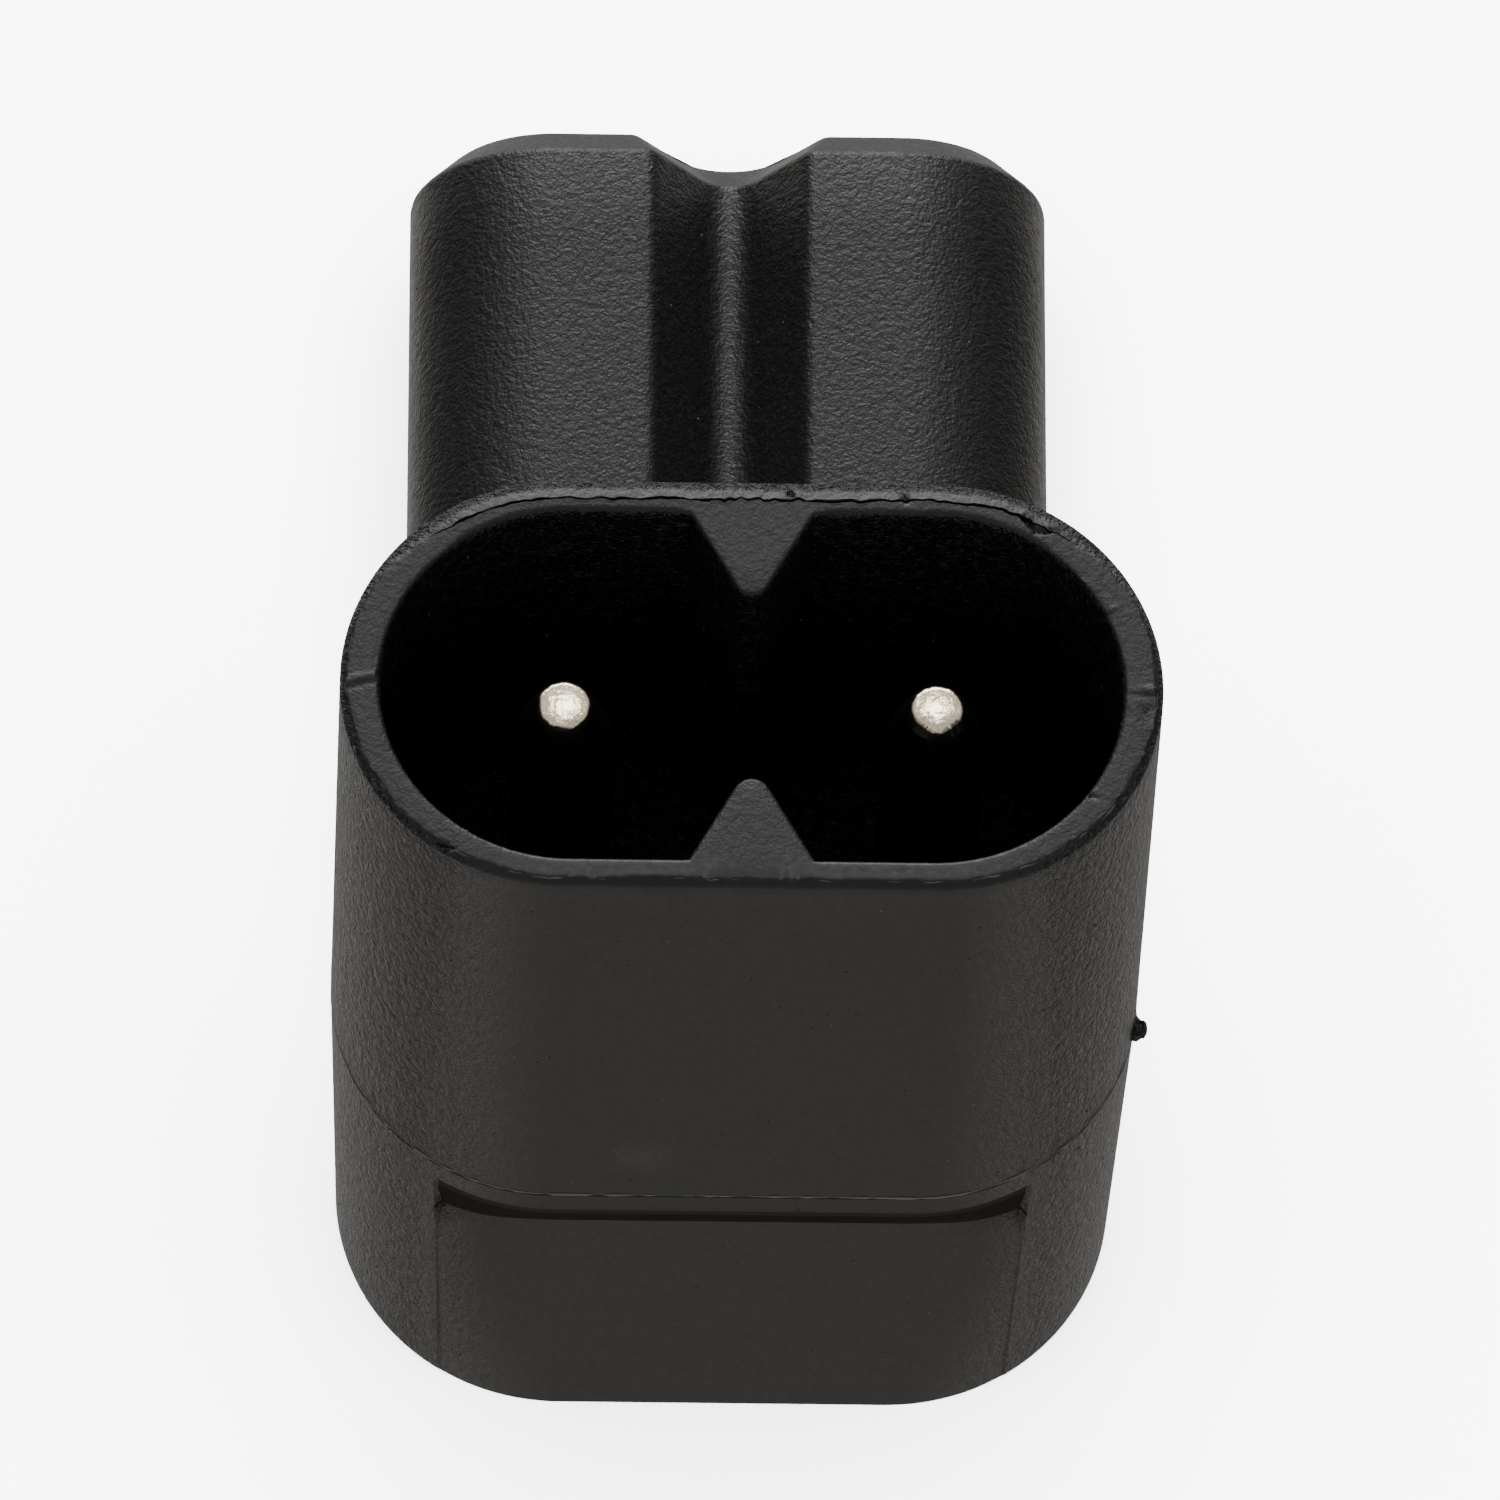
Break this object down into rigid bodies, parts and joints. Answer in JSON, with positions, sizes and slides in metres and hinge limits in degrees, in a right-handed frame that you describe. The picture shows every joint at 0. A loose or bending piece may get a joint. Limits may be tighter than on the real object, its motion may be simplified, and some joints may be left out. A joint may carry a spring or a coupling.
{
  "type": "figure eight power connector",
  "caption": "Right-angle figure-eight power adapter with a keyed pin socket opening upwards and a waisted plug pointing to the side.",
  "frame": {"origin": "middle of the flat back face that the adapter lies on", "axes": "+Z out of the socket along its pins, +Y along the plug towards its tip, +X from the left pole to the right pole"},
  "size_m": [0.0195, 0.0312, 0.0294],
  "materials": {
    "shroud_plastic": "fine moulded satin, near black",
    "housing_plastic": "fine moulded texture, near black",
    "core_plastic": "plain moulded, dark grey",
    "pin_metal": "nickel plated, satin",
    "contact_metal": "plain",
    "strap_metal": "plain"
  },
  "bodies": {
    "root": {"socket_shroud": "shroud_plastic", "rear_housing": "housing_plastic", "plug_core": "core_plastic", "pin_left": "pin_metal", "pin_right": "pin_metal", "contact_left": "contact_metal", "contact_right": "contact_metal", "strap_left": "strap_metal", "strap_right": "strap_metal"}
  },
  "joints": []
}
